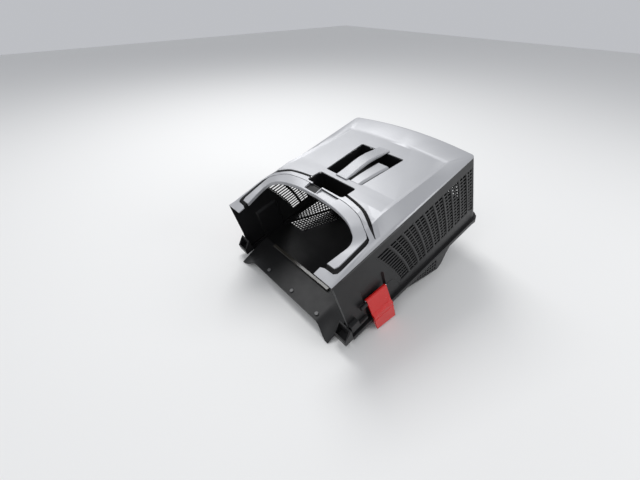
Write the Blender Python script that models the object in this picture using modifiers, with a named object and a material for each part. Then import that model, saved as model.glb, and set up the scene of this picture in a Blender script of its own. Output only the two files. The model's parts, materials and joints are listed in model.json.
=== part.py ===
"""Grass collection box of an electric lawn dethatcher.

The box stands nose down on its front feet and the rear edge of its tub. It is drawn in its own
box frame, in millimetres: x across, y from the mouth to the rear, z up from the line where the
silver cover meets the black body. The box frame is then tilted and set down in metres.
"""

import math

import bmesh
import bpy
import numpy as np
from mathutils import Vector

MM = 0.001
SMOOTH_ANGLE = 32.0                # edges flatter than this are shaded smooth, degrees

# Standing pose
TILT = math.radians(15.0)          # nose-down tilt of the box frame on the table
STAND = 222.0                      # table below the box frame's origin, along its z, mm
CENTRE_Y = 318.26                  # middle of the whole object's length, mm in the table frame

SIDES = ((1, "right"), (-1, "left"))

# Body plan, mm
HALF_W = 216.0                     # half width at the cover line
REAR_Y = 540.0                     # rear corners of the cover
REAR_BOW = 15.0                    # extra length at the middle of the rear edge
CORNER_R = 13.0                    # plan radius of the rear corners
CROWN = 6.0                        # how much the rear edge rises in the middle
SIDE_FLARE = 0.12                  # outward lean of the side walls per mm of depth
REAR_FLARE = 0.08                  # outward lean of the rear wall per mm of depth
WALL = 3.0                         # wall thickness of the mouldings
GAP = 0.4                          # gap left between neighbouring mouldings

# Cover
PANEL_Z = 56.1                     # height of the top panel's plane at y = 0
PANEL_FALL = 0.106                 # fall of that plane per mm of y
CREASE_X = 183.0                   # side crease of the panel
CREASE_Y = 479.0                   # rear crease of the panel
CREASE_BOW = 6.0
CREASE_REAR_X = 180.0              # side crease at its rear end
HOOD_START = 112.0                 # where the legs' low surface begins to rise to the panel
HOOD_END = 180.0                   # where it reaches the panel, in the middle of the box
HOOD_LAG = 40.0                    # how much later it does so at the side creases
DISH = 3.4                         # how far the panel lies below the border round it
DISH_W = 12.0
SKIRT_H = 1.4                      # upright edge at the foot of the cover
MOUTH_FOOT_X = 160.0               # inner end of the cover's front feet
MOUTH_FOOT_Y = 20.0
SEAL_R = 1.7                       # rubber bead in the band's channel
BAND_TOP, BAND_FLOOR = -0.9, -3.7    # its channel, from the cover's surface
BAND_SINK = 2.0                    # how much deeper it lies at its pointed end, where the cover falls away

FOLD_START = 200.0                 # where the crease's stations leave the wall's
SIDE_TO_CREASE = (CREASE_Y - FOLD_START) / (REAR_Y - CORNER_R - FOLD_START)
REAR_TO_CREASE = CREASE_REAR_X / (HALF_W - CORNER_R)

# Parting line between the hood and the tub
PARTING_Z = -201.0
PARTING_FALL = 0.05
FLANGE_OUT = 8.0
FLANGE_T = 6.7

# Side windows and grilles
WIN_TOP, WIN_LOW = -28.0, -178.0
WIN_FRONT = ((-28.0, 132.0), (-60.0, 150.0), (-90.0, 165.0), (-120.0, 179.0), (-150.0, 190.0),
             (-178.0, 197.0))
WIN_REAR = (530.0, 540.0)
RIB_TOPS = (178.0, 228.0, 272.0, 312.0, 352.0, 393.0, 428.0, 465.0, 500.0)
RIB_LOWS = (237.0, 277.0, 311.0, 347.0, 378.0, 410.0, 443.0, 476.0, 515.0)
RIB_W = 9.0
RIB_BOW = 7.0
SLOT_ROWS = 13
SLOT_H = 5.6
GRILLE_T = 2.5
REAR_WIN_X = 184.0
REAR_COLUMNS = 8

# Tub
TUB_HALF_W = 237.0
TUB_SHELF = 9.0                    # depth of the tub's edge below the parting line
TUB_FRONT_Y = 2.0
TUB_KNEE_Y = 155.0
TUB_HEEL_Y = 380.0
TUB_REAR_PROFILE = ((401.0, -315.0), (422.0, -284.0), (444.0, -261.0), (468.0, -243.0))
MESH_X = (160.0, 232.0)            # openings in its sloping floor
MESH_Y = (166.0, 344.0)
MESH_T = 2.4
VENT_Y = (196.0, 372.0)            # openings in the tub's side walls
VENT_BELOW_PARTING = 9.5
VENT_ABOVE_FLOOR = 5.0

# Clips
CLIP_Y = (71.0, 139.0)
CLIP_AXIS_X, CLIP_AXIS_Z = 232.5, -126.0
CLIP_PIN_R = 2.5
CLIP_PIN_PLAY = 0.4
CLIP_DROP = 6.0                    # how much lower and further out its rear end is
CLIP_SPREAD = 3.0
CLIP_TAIL_Z = -217.0
CLIP_TO_TABLE = 3.5
RECESS_Y = (64.0, 68.0, 142.0, 146.0)
RECESS_Z = (-84.0, -91.0)
RECESS_DEPTH = 6.0

# Rear hinge
HINGE_Y = 592.0
HINGE_Z = -231.0
HINGE_X = 130.0
KNUCKLE_R = 6.0
HINGE_PIN_R = 2.5
PIN_PLAY = 0.3


def panel_z(y):
    return PANEL_Z - PANEL_FALL * y


def crown(x, y):
    return CROWN * (1.0 - (x / HALF_W) ** 2) * max(0.0, (y - 200.0) / (REAR_Y - 200.0))


def parting(y):
    return PARTING_Z - PARTING_FALL * y


def table_z(y):
    """Height of the table in the box frame."""
    return -STAND - math.tan(TILT) * y


def mix(a, b, t):
    return a + (b - a) * t


def smooth(t):
    t = min(1.0, max(0.0, t))
    return t * t * (3.0 - 2.0 * t)


def interp(x, table):
    xs = [row[0] for row in table]
    return float(np.interp(x, xs, [row[1] for row in table]))


def spline(points, count):
    """Points spaced evenly along a Catmull-Rom curve through the given ones."""
    pts = np.array(points, float)
    ext = np.vstack([2 * pts[0] - pts[1], pts, 2 * pts[-1] - pts[-2]])
    dense = []
    for k in range(len(pts) - 1):
        a, b, c, d = ext[k:k + 4]
        for t in np.linspace(0, 1, 12, endpoint=False):
            dense.append(0.5 * (2 * b + (c - a) * t + (2 * a - 5 * b + 4 * c - d) * t * t
                                + (3 * b - a - 3 * c + d) * t ** 3))
    dense.append(pts[-1])
    dense = np.array(dense)
    run = np.concatenate([[0], np.cumsum(np.linalg.norm(np.diff(dense, axis=0), axis=1))])
    return np.stack([np.interp(np.linspace(0, run[-1], count), run, dense[:, k]) for k in range(3)], 1)


# ---------------------------------------------------------------- scene and materials

for old in list(bpy.data.objects):
    bpy.data.objects.remove(old, do_unlink=True)

box_collection = bpy.data.collections.new("dethatcher_collection_box")
cutter_collection = bpy.data.collections.new("cutters")
bpy.context.scene.collection.children.link(box_collection)
bpy.context.scene.collection.children.link(cutter_collection)


def material(name, colour, roughness, metallic=0.0):
    mat = bpy.data.materials.new(name)
    mat.use_nodes = True
    shader = mat.node_tree.nodes["Principled BSDF"]
    shader.inputs["Base Color"].default_value = (*colour, 1.0)
    shader.inputs["Roughness"].default_value = roughness
    shader.inputs["Metallic"].default_value = metallic
    return mat


SILVER = material("silver_plastic", (0.62, 0.63, 0.65), 0.35, 0.3)
BLACK = material("black_plastic", (0.022, 0.022, 0.024), 0.5)
SEAL = material("black_rubber", (0.012, 0.012, 0.012), 0.7)
RED = material("red_plastic", (0.62, 0.03, 0.025), 0.3)
STEEL = material("steel", (0.55, 0.55, 0.56), 0.35, 1.0)


def empty(name, at, parent=None, origin=(0.0, 0.0, 0.0)):
    node = bpy.data.objects.new(name, None)
    box_collection.objects.link(node)
    node.parent = parent
    node.location = [(a - o) * MM for a, o in zip(at, origin)]
    node["box_origin"] = list(at)
    return node


FRAME = empty("box_frame", (0.0, 0.0, 0.0))
FRAME.rotation_euler.x = TILT
FRAME.location = (0.0, -CENTRE_Y * MM, STAND * math.cos(TILT) * MM)
HOOD_AXIS = empty("hood_axis", (0.0, HINGE_Y, HINGE_Z), FRAME)
CLIP_AXES = {side: empty("clip_axis_" + name, (side * CLIP_AXIS_X, CLIP_Y[0], CLIP_AXIS_Z), HOOD_AXIS,
                         (0.0, HINGE_Y, HINGE_Z))
             for side, name in SIDES}


def add_object(name, bm, mat, parent=FRAME, collection=None):
    """A mesh drawn in box-frame mm becomes an object under its parent, in metres."""
    origin = Vector(parent["box_origin"])
    for vert in bm.verts:
        vert.co = (vert.co - origin) * MM
    mesh = bpy.data.meshes.new(name)
    bm.to_mesh(mesh)
    bm.free()
    if mat:
        mesh.materials.append(mat)
    obj = bpy.data.objects.new(name, mesh)
    (collection or box_collection).objects.link(obj)
    obj.parent = parent
    mesh.shade_smooth()
    mesh.set_sharp_from_angle(angle=math.radians(SMOOTH_ANGLE))
    return obj


def cutter(name, bm, parent=FRAME):
    tool = add_object(name, bm, None, parent, cutter_collection)
    tool.hide_render = True
    tool.display_type = "WIRE"
    return tool


def boolean(obj, tool, operation):
    mod = obj.modifiers.new(tool.name, "BOOLEAN")
    mod.operation = operation
    mod.solver = "EXACT"
    mod.object = tool


def cut(obj, tool):
    boolean(obj, tool, "DIFFERENCE")


def join(obj, name, bm, parent):
    """Boolean union of an object with another solid."""
    boolean(obj, cutter(name, bm, parent), "UNION")


# ---------------------------------------------------------------- mesh builders

def close_up(bm):
    bmesh.ops.remove_doubles(bm, verts=bm.verts, dist=1e-3)
    bmesh.ops.recalc_face_normals(bm, faces=bm.faces)
    return bm


def sweep(sections, closed=False):
    """Solid through closed sections of equal length; the ends are capped unless it is a ring."""
    bm = bmesh.new()
    rings = [[bm.verts.new(p) for p in section] for section in sections]
    size = len(rings[0])
    pairs = list(zip(rings, rings[1:])) + ([(rings[-1], rings[0])] if closed else [])
    for low, high in pairs:
        for k in range(size):
            bm.faces.new((low[k], low[(k + 1) % size], high[(k + 1) % size], high[k]))
    if not closed:
        bm.faces.new(rings[0][::-1])
        bm.faces.new(rings[-1])
    return close_up(bm)


def sheet(rows):
    """Open surface through rows of points of equal length."""
    bm = bmesh.new()
    grid = [[bm.verts.new(p) for p in row] for row in rows]
    for low, high in zip(grid, grid[1:]):
        for k in range(len(low) - 1):
            bm.faces.new((low[k], low[k + 1], high[k + 1], high[k]))
    return bm


def thicken(obj, thickness, offset=-1.0):
    mod = obj.modifiers.new("thickness", "SOLIDIFY")
    mod.thickness = thickness * MM
    mod.offset = offset
    mod.use_even_offset = True


def prism_z(outline, low, high):
    return sweep([[(x, y, z(x, y) if callable(z) else z) for x, y in outline] for z in (low, high)])


def prism_x(outline, low, high):
    return sweep([[(x, y, z) for y, z in outline] for x in (low, high)])


def prism_y(outline, low, high):
    return sweep([[(x, y, z) for x, z in outline] for y in (low, high)])


def rounded_outline(corners, radius, steps=3):
    """Closed outline with its corners rounded, counter-clockwise."""
    out = []
    count = len(corners)
    for k in range(count):
        here = Vector(corners[k])
        before = (Vector(corners[k - 1]) - here).normalized()
        after = (Vector(corners[(k + 1) % count]) - here).normalized()
        half = math.acos(max(-1.0, min(1.0, before.dot(after)))) / 2
        centre = here + (before + after).normalized() * radius / math.sin(half)
        start = here + before * radius / math.tan(half) - centre
        end = here + after * radius / math.tan(half) - centre
        turn = start.angle_signed(end)
        for s in range(steps + 1):
            angle = -turn * s / steps
            c, n = math.cos(angle), math.sin(angle)
            out.append((centre.x + start.x * c - start.y * n, centre.y + start.x * n + start.y * c))
    return out


def grow(outline, amount):
    """Outline moved outwards (counter-clockwise outline) by the given amount."""
    pts = [Vector(p) for p in outline]
    out = []
    for k, here in enumerate(pts):
        a = (here - pts[k - 1]).normalized()
        b = (pts[(k + 1) % len(pts)] - here).normalized()
        direction = Vector((a.y + b.y, -a.x - b.x)).normalized()
        stretch = 1.0 / max(0.5, direction.dot(Vector((a.y, -a.x))))
        out.append(tuple(here + direction * amount * stretch))
    return out


def cylinder(axis, centre, radius, length, segments=16):
    bm = bmesh.new()
    bmesh.ops.create_cone(bm, cap_ends=True, segments=segments, radius1=radius, radius2=radius, depth=length)
    swap = {"x": lambda c: (c.z, c.x, c.y), "y": lambda c: (c.y, c.z, c.x), "z": lambda c: tuple(c)}[axis]
    for vert in bm.verts:
        vert.co = Vector(swap(vert.co)) + Vector(centre)
    return bm


def merge(parts):
    """Several separate bodies in one mesh."""
    whole = bmesh.new()
    for part in parts:
        mesh = bpy.data.meshes.new("part")
        part.to_mesh(mesh)
        part.free()
        whole.from_mesh(mesh)
        bpy.data.meshes.remove(mesh)
    return whole


# ---------------------------------------------------------------- plan of the walls

def rear_line(x):
    return REAR_Y + REAR_BOW * (1.0 - (x / HALF_W) ** 2)


def half_plan():
    """Right half of the wall's plan, front to rear middle: x, y and outward normal."""
    plan = []
    folds = [FOLD_START + (CREASE_Y - inset - FOLD_START) / SIDE_TO_CREASE for inset in (DISH_W, DISH_W / 2)]
    sides = (0.0, 20.0, 42.0, *RECESS_Y, 98.0, 120.0, 165.0, 185.0, 210.0, 240.0, 275.0, 350.0, 430.0, *folds,
             REAR_Y - CORNER_R)
    for y in sorted(sides):
        plan.append((HALF_W, y, 1.0, 0.0))
    centre = (HALF_W - CORNER_R, REAR_Y - CORNER_R + 2.0)
    for step in (1, 2, 3, 4, 5):
        angle = math.radians(17.5 * step)
        plan.append((centre[0] + CORNER_R * math.cos(angle), centre[1] + CORNER_R * math.sin(angle),
                     math.cos(angle), math.sin(angle)))
    folds = [(CREASE_REAR_X - inset) / REAR_TO_CREASE for inset in (DISH_W / 2, DISH_W)]
    for x in (*folds, 150.0, 110.0, 70.0, 35.0, 0.0):
        plan.append((x, rear_line(x), 0.0, 1.0))
    return plan


def full_plan():
    right = half_plan()
    left = [(-x, y, -nx, ny) for x, y, nx, ny in right[-2::-1]]
    return right + left


def wall_point(station, z, out=0.0):
    x, y, nx, ny = station
    lean = (SIDE_FLARE * abs(nx) + REAR_FLARE * ny) * -min(z, 0.0) + out
    return (x + nx * lean, y + ny * lean, z)


# ---------------------------------------------------------------- upper body

def recess(station, z):
    """Depth of the pocket that each clip lies in."""
    y = station[1]
    across = interp(y, list(zip(RECESS_Y, (0.0, 1.0, 1.0, 0.0)))) if abs(station[2]) > 0.9 else 0.0
    down = interp(-z, ((-RECESS_Z[0], 0.0), (-RECESS_Z[1], 1.0)))
    return RECESS_DEPTH * across * down


def build_upper_body():
    sections = []
    for station in full_plan():
        top = crown(station[0], station[1]) - GAP
        flange = parting(station[1])
        rows = (top, RECESS_Z[0], RECESS_Z[1], -150.0, flange + FLANGE_T)
        outer = [wall_point(station, z, -recess(station, z)) for z in rows]
        lip = [wall_point(station, z, out) for z, out in (
            (flange + FLANGE_T, FLANGE_OUT), (flange + GAP / 2, FLANGE_OUT),
            (flange + GAP / 2, FLANGE_OUT - WALL), (flange + FLANGE_T - WALL, FLANGE_OUT - WALL))]
        inner_rows = (flange + FLANGE_T - WALL,) + rows[-2::-1]
        inner = [wall_point(station, z, -WALL - recess(station, z)) for z in inner_rows]
        sections.append(outer + lip + inner)
    body = add_object("upper_body", sweep(sections), BLACK, HOOD_AXIS)
    side_window = [(y, z) for z, y in WIN_FRONT] + [(WIN_REAR[1], WIN_LOW), (WIN_REAR[0], WIN_TOP)]
    cut(body, cutter("side_window", prism_x(side_window, -300.0, 300.0)))
    rear_window = [(-REAR_WIN_X, WIN_LOW), (REAR_WIN_X, WIN_LOW),
                   (REAR_WIN_X, WIN_TOP), (-REAR_WIN_X, WIN_TOP)]
    cut(body, cutter("rear_window", prism_y(rear_window, 500.0, 620.0)))
    return body


# ---------------------------------------------------------------- grilles

def window_front(z):
    return interp(-z, [(-depth, y) for depth, y in WIN_FRONT])


def side_column(index, z):
    """y of a grille line at depth z: 0 is the front edge, 1..9 the ribs, 10 the rear edge."""
    t = (WIN_TOP - z) / (WIN_TOP - WIN_LOW)
    if index == 0:
        return window_front(z)
    if index == len(RIB_TOPS) + 1:
        return mix(WIN_REAR[0], WIN_REAR[1], t)
    bow = RIB_BOW * (1.0 - index / (len(RIB_TOPS) + 1)) * 4.0 * t * (1.0 - t)
    return mix(RIB_TOPS[index - 1], RIB_LOWS[index - 1], t) + bow


def slot_rows():
    """Heights of the grille's lines from the top, in pairs round each slot."""
    pitch = (WIN_TOP - WIN_LOW) / SLOT_ROWS
    rows = [WIN_TOP - GAP]
    for k in range(SLOT_ROWS):
        middle = WIN_TOP - pitch * (k + 0.5)
        rows += [middle + SLOT_H / 2, middle - SLOT_H / 2]
    return rows + [WIN_LOW + GAP]


def perforated(name, bm, columns, thickness, outward, parent=FRAME):
    """Panel made of a sheet of cells with every second one, both ways, opened."""
    bm.faces.ensure_lookup_table()
    rows = len(bm.faces) // columns
    holes = [bm.faces[r * columns + c] for r in range(1, rows - 1, 2) for c in range(1, columns, 2)]
    bmesh.ops.delete(bm, geom=holes, context="FACES_ONLY")
    bmesh.ops.recalc_face_normals(bm, faces=bm.faces)
    panel = add_object(name, bm, BLACK, parent)
    orient(panel, outward)
    thicken(panel, thickness)


def grille(name, lines, place, outward):
    """Slotted panel: lines(z) gives the upright lines, in pairs round each column of slots."""
    bm = sheet([[place(u, z) for u in lines(z)] for z in slot_rows()])
    perforated(name, bm, len(lines(WIN_TOP)) - 1, GRILLE_T, outward, HOOD_AXIS)


def side_lines(z):
    count = len(RIB_TOPS) + 1
    lines = [side_column(0, z) + GAP]
    for k in range(count):
        lines += [side_column(k, z) + RIB_W / 2, side_column(k + 1, z) - RIB_W / 2]
    return lines + [side_column(count, z) - GAP]


def rear_lines(z):
    width = 2 * REAR_WIN_X / REAR_COLUMNS
    lines = [-REAR_WIN_X + GAP]
    for k in range(REAR_COLUMNS):
        start = -REAR_WIN_X + k * width
        lines += [start + RIB_W / 2, start + width - RIB_W / 2]
    return lines + [REAR_WIN_X - GAP]


def build_grilles():
    def on_side(side):
        return lambda y, z: (side * (HALF_W - SIDE_FLARE * z - GAP), y, z)

    def on_rear(x, z):
        return (x, rear_line(x) - REAR_FLARE * z - GAP, z)

    for side, name in SIDES:
        grille("grille_" + name, side_lines, on_side(side), (side, 0, 0))
    grille("grille_rear", rear_lines, on_rear, (0, 1, 0))


def orient(obj, outward):
    """Turn an open sheet's faces the given way."""
    bm = bmesh.new()
    bm.from_mesh(obj.data)
    total = Vector((0, 0, 0))
    for face in bm.faces:
        total += face.normal * face.calc_area()
    if total.dot(Vector(outward)) < 0:
        bmesh.ops.reverse_faces(bm, faces=bm.faces)
    bm.to_mesh(obj.data)
    bm.free()


# ---------------------------------------------------------------- silver cover

SHOULDER_RISE = ((0.0, 3.0), (24.0, 4.0), (47.0, 8.0), (98.0, 13.0), (126.0, 15.0), (147.0, 14.0),
                 (165.0, 12.0), (185.0, 10.0), (210.0, 8.0), (262.0, 6.2), (479.0, 4.5), (540.0, 4.0))


def top_z(x, y):
    """Height of the cover inside its creases, low along the legs and rising to the hood."""
    leg = 4.0 + 0.11 * y
    reach = HOOD_END + HOOD_LAG * smooth((abs(x) - 110.0) / 70.0) - HOOD_START
    return mix(leg, panel_z(y), smooth((y - HOOD_START) / reach)) + crown(x, y)


def crease_x(y):
    return mix(CREASE_X, CREASE_REAR_X, min(y, CREASE_Y) / CREASE_Y)


def crease_y(x):
    return CREASE_Y + CREASE_BOW * (1.0 - min(1.0, abs(x) / CREASE_REAR_X) ** 2)


def dished_z(x, y):
    """The panel lies a little below its border, with a soft fold between."""
    inside = min(crease_x(y) - abs(x), crease_y(x) - y)
    return top_z(x, y) - DISH * smooth(inside / DISH_W) * smooth((y - 205.0) / 70.0)


def on_rear_wall(station):
    return abs(station[0]) < HALF_W - CORNER_R


def crease_point(station):
    """The point on the creases that a station of the wall's plan is joined to."""
    x, y, _, _ = station
    if on_rear_wall(station):
        cx = x * REAR_TO_CREASE
        return (cx, crease_y(cx))
    if y > REAR_Y - CORNER_R:
        return (math.copysign(CREASE_REAR_X, x), CREASE_Y)
    cy = y if y < FOLD_START else FOLD_START + (y - FOLD_START) * SIDE_TO_CREASE
    return (math.copysign(crease_x(cy), x), cy)


def cover_border(plan):
    """Skirt, rounded edge and shoulder of the cover, from the wall in to the creases."""
    skirt, edge, bend, shoulder, crease = [], [], [], [], []
    for station in plan:
        x, y, nx, ny = station
        lift = crown(x, y)
        rise = interp(y, SHOULDER_RISE)
        skirt.append((x, y, lift))
        edge.append((x, y, lift + SKIRT_H))
        bend.append((x - nx * 2.2, y - ny * 2.2, lift + rise * 0.68))
        shoulder.append((x - nx * 7.0, y - ny * 7.0, lift + rise))
        cx, cy = crease_point(station)
        crease.append((cx, cy, top_z(cx, cy)))
    return sheet([skirt, edge, bend, shoulder, crease])


def cover_panel(plan):
    """The dished panel inside the creases, row by row from the front."""
    half = len(plan) // 2 + 1
    heights = [crease_point(station)[1] for station in plan[:half] if station[1] <= REAR_Y - CORNER_R]
    shares = [crease_point(station)[0] / CREASE_REAR_X for station in plan if on_rear_wall(station)]
    rows = []
    for y in heights:
        row = []
        for share in [1.0] + shares + [-1.0]:
            x = share * crease_x(y)
            at = y + (crease_y(x) - CREASE_Y) * smooth((y - 300.0) / (CREASE_Y - 300.0))
            row.append((x, at, dished_z(x, at)))
        rows.append(row)
    return sheet(rows)


def build_cover():
    plan = full_plan()
    bm = merge([cover_border(plan), cover_panel(plan)])
    bmesh.ops.remove_doubles(bm, verts=bm.verts, dist=0.02)
    bmesh.ops.recalc_face_normals(bm, faces=bm.faces)
    cover = add_object("top_cover", bm, SILVER, HOOD_AXIS)
    orient(cover, (0, 0, 1))
    thicken(cover, WALL)
    band = band_outline()
    holes = {"mouth_cut": mouth_outline(), "pocket_cut": POCKET, "well_cut": WELL, "ridge_cut": RIDGE_GAP,
             "band_cut_right": band, "band_cut_left": [(-x, y) for x, y in band]}
    for name, outline in holes.items():
        cut(cover, cutter(name, prism_z(outline, -60.0, 120.0)))
    return cover


POCKET = rounded_outline([(-68.0, 187.5), (68.0, 187.5), (68.0, 238.0), (-68.0, 238.0)], 8.0)
RIDGE_GAP = [(-42.0, 181.0), (-5.0, 181.0), (-5.0, 192.0), (-42.0, 192.0)]
WELL = rounded_outline([(-66.0, 257.0), (66.0, 257.0), (78.0, 418.0), (-78.0, 418.0)], 5.0)

# Half curves round the mouth, from the front of a leg to the middle: x, y, z
MOUTH_EDGE = ((165.0, 36.5, 7.5), (170.0, 68.0, 11.0), (174.0, 99.0, 14.0), (168.0, 118.0, 20.0),
              (150.0, 131.0, 27.0), (133.0, 139.5, 29.5), (113.0, 146.0, 31.0), (82.0, 152.0, 32.5),
              (50.0, 155.0, 33.5), (0.0, 157.0, 34.0))
RIM_EDGE = ((189.0, 36.5, 8.0), (193.0, 44.0, 8.8), (194.0, 80.0, 12.8), (194.4, 120.0, 17.8),
            (193.6, 134.0, 19.6), (189.0, 142.0, 21.6), (171.0, 152.4, 27.6), (143.0, 168.0, 34.0),
            (118.0, 174.6, 36.6), (93.0, 179.2, 37.0), (72.0, 181.4, 37.0), (0.0, 183.0, 37.0))
GROOVE_EDGE = ((170.0, 24.0, 6.0), (196.0, 25.4, 5.6), (203.4, 34.0, 6.6), (204.6, 60.0, 9.6),
               (204.8, 100.0, 13.4), (204.4, 126.0, 15.2), (200.0, 138.0, 17.6), (191.0, 142.6, 20.8))
BAND_MIDDLE = ((74.0, 202.0, 34.6), (108.0, 196.0, 35.2), (141.0, 186.5, 35.6), (165.0, 174.0, 32.6),
               (187.0, 160.5, 26.0), (207.0, 149.5, 15.4))
BAND_HALF = (4.4, 1.1)             # half width along most of the band, and at its pointed end
BAND_TAPER = 0.76                  # where along its run the point begins
RIM_GAP = 0.9                      # line between the rim and the cover behind it


def mouth_outline():
    """Hole in the cover for the mouth and its rim, with the groove along each leg."""
    groove = [tuple(p[:2]) for p in spline(GROOVE_EDGE[1:], 14)]
    arc = [(x + RIM_GAP * 0.3, y + RIM_GAP) for x, y, _ in spline(RIM_EDGE[5:], 16)[1:]]
    right = [(MOUTH_FOOT_X, -30.0), (MOUTH_FOOT_X, MOUTH_FOOT_Y), (170.0, GROOVE_EDGE[0][1])] + groove + arc
    return right + [(-x, y) for x, y in right[-2::-1]]


def band_edges(extra, count=22):
    """Both edges of the band in the cover, widened by the given amount, as x, y, z."""
    middle = spline(BAND_MIDDLE, count)
    along = np.gradient(middle[:, :2], axis=0)
    along /= np.linalg.norm(along, axis=1)[:, None]
    across = np.stack([along[:, 1], -along[:, 0], np.zeros(count)], 1)
    reach = np.linspace(0.0, 1.0, count)
    taper = [smooth((t - BAND_TAPER) / (1.0 - BAND_TAPER)) for t in reach]
    half = np.array([mix(BAND_HALF[0], BAND_HALF[1], t) + extra for t in taper])[:, None]
    return middle - across * half, middle + across * half


def band_outline():
    """Slot for the band, open into the pocket."""
    near, far = band_edges(0.0)
    start = [(66.0, far[0][1] + 1.2), (66.0, near[0][1] + 1.2)]
    return [tuple(p[:2]) for p in near] + [tuple(p[:2]) for p in far[::-1]] + start


# ---------------------------------------------------------------- mouth rim, leg seals and band

def both_sides(half):
    return np.vstack([half, half[-2::-1] * np.array([-1.0, 1.0, 1.0])])


def build_mouth_rim():
    inner = both_sides(spline(MOUTH_EDGE, 28))
    outer = both_sides(spline(RIM_EDGE, 28))
    sections = []
    for a, b in zip(inner, outer):
        near = 1.4 / np.linalg.norm(b - a)
        sections.append([tuple(a - (0, 0, 10)), tuple(a - (0, 0, 1.2)), tuple(mix(a, b, near)),
                         tuple(mix(a, b, 1.0 - near)), tuple(b - (0, 0, 1.4)), tuple(b - (0, 0, 12))])
    rim = add_object("mouth_rim", sweep(sections), SILVER, HOOD_AXIS)
    notch = [(-50.0, 161.0), (-5.0, 161.0), (-5.0, 200.0), (-50.0, 200.0)]
    cut(rim, cutter("rim_notch", prism_z(notch, 28.5, 60.0)))
    recess_outline = rounded_outline([(-3.0, 161.5), (54.0, 161.5), (69.0, 190.0), (-3.0, 190.0)], 4.0)
    cut(rim, cutter("rim_recess", prism_z(recess_outline, lambda x, y: 33.2 - 0.12 * (y - 161.0), 60.0)))
    return rim


def build_leg_seals():
    """Soft strip that fills the groove round the outside of each leg of the rim."""
    inner = spline(RIM_EDGE[:5], 18) + (0.5, 0.0, 0.0)
    inner = np.vstack([[(168.0, 36.0, 7.5)], inner - (0.0, 0.5, 0.0)])
    outer = spline(GROOVE_EDGE[:7], 19)
    profile = ((0.0, -10.0), (0.0, -0.9), (0.18, -0.5), (0.5, -2.2), (0.9, -3.4), (0.9, -10.0))
    for side, name in SIDES:
        flip = np.array([side, 1.0, 1.0])
        sections = [[tuple((mix(a, b, share) + (0, 0, drop)) * flip) for share, drop in profile]
                    for a, b in zip(inner, outer)]
        add_object("leg_seal_" + name, sweep(sections), SEAL, HOOD_AXIS)


def build_band():
    """Channel that fills the slot in the cover, and the rubber bead that lies in it."""
    near, far = band_edges(-0.35)
    sink = np.linspace(0.0, 1.0, len(near)) ** 3 * BAND_SINK
    near[:, 2] -= sink
    far[:, 2] -= sink
    profile = ((0.0, -8.0), (0.0, BAND_TOP), (0.16, BAND_TOP), (0.2, BAND_FLOOR), (0.8, BAND_FLOOR),
               (0.84, BAND_TOP), (1.0, BAND_TOP), (1.0, -8.0))
    origin = np.array(HOOD_AXIS["box_origin"])
    path = spline(BAND_MIDDLE, 26)[:round(26 * BAND_TAPER)] + (0.0, 0.0, BAND_FLOOR + SEAL_R + 0.3)
    for side, name in SIDES:
        flip = np.array([side, 1.0, 1.0])
        sections = [[tuple((mix(a, b, share) + (0, 0, drop)) * flip) for share, drop in profile]
                    for a, b in zip(near, far)]
        add_object("seal_channel_" + name, sweep(sections), BLACK, HOOD_AXIS)
        curve = bpy.data.curves.new("mouth_seal_" + name, "CURVE")
        curve.dimensions = "3D"
        curve.bevel_depth = SEAL_R * MM
        curve.bevel_resolution = 1
        curve.use_fill_caps = True
        curve.materials.append(SEAL)
        line = curve.splines.new("POLY")
        line.points.add(len(path) - 1)
        for point, at in zip(line.points, path):
            point.co = (*((at * flip - origin) * MM), 1.0)
        seal = bpy.data.objects.new("mouth_seal_" + name, curve)
        box_collection.objects.link(seal)
        seal.parent = HOOD_AXIS


# ---------------------------------------------------------------- pocket, handle well, grip

def cup(name, outline, depth, mat):
    """Open cup hung under the cover's hole, its wall outside the hole's outline."""
    def loop(extra, z):
        return [(x, y, z(x, y)) for x, y in grow(outline, extra)]

    def brim(x, y):
        return dished_z(x, y) - WALL - 2.2

    def floor(x, y):
        return panel_z(y) - depth

    loops = [loop(1.0, lambda x, y: floor(x, y) - 2.0), loop(2.4, brim), loop(0.4, brim), loop(-1.0, floor)]
    return add_object(name, sweep(loops), mat, HOOD_AXIS)


GRIP = ((251.0, 0.5, 3.0), (262.0, 2.2, 4.5), (285.0, 7.5, 8.0), (312.0, 12.5, 9.0), (340.0, 15.0, 9.0),
        (368.0, 13.5, 9.0), (392.0, 9.5, 8.0), (414.0, 5.0, 4.2), (428.0, 4.0, 3.2))
GRIP_HALF = 20.0


def build_grip():
    sections = []
    for y, rise, thick in GRIP:
        top = dished_z(0.0, y) + max(rise, thick + 0.9)
        low = top - thick
        edge = min(3.0, thick * 0.4)
        sections.append([(GRIP_HALF, y, low), (GRIP_HALF, y, top - edge), (GRIP_HALF - edge, y, top),
                         (-GRIP_HALF + edge, y, top), (-GRIP_HALF, y, top - edge), (-GRIP_HALF, y, low)])
    return add_object("handle_grip", sweep(sections), SILVER, HOOD_AXIS)


def build_ramp():
    sections = []
    for t in np.linspace(0, 1, 6):
        y = mix(257.5, 369.0, t)
        top = dished_z(48.0, 257.0) - 0.02 - 13.0 * t ** 1.4
        right = mix(60.5, 67.0, t)
        sections.append([(28.0, y, top - 3.0), (28.0, y, top), (right - 6.0, y, top),
                         (right, y, top - 4.0), (right, y, top - 7.0)])
    return add_object("finger_ramp", sweep(sections), SILVER, HOOD_AXIS)


# ---------------------------------------------------------------- tub

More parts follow.
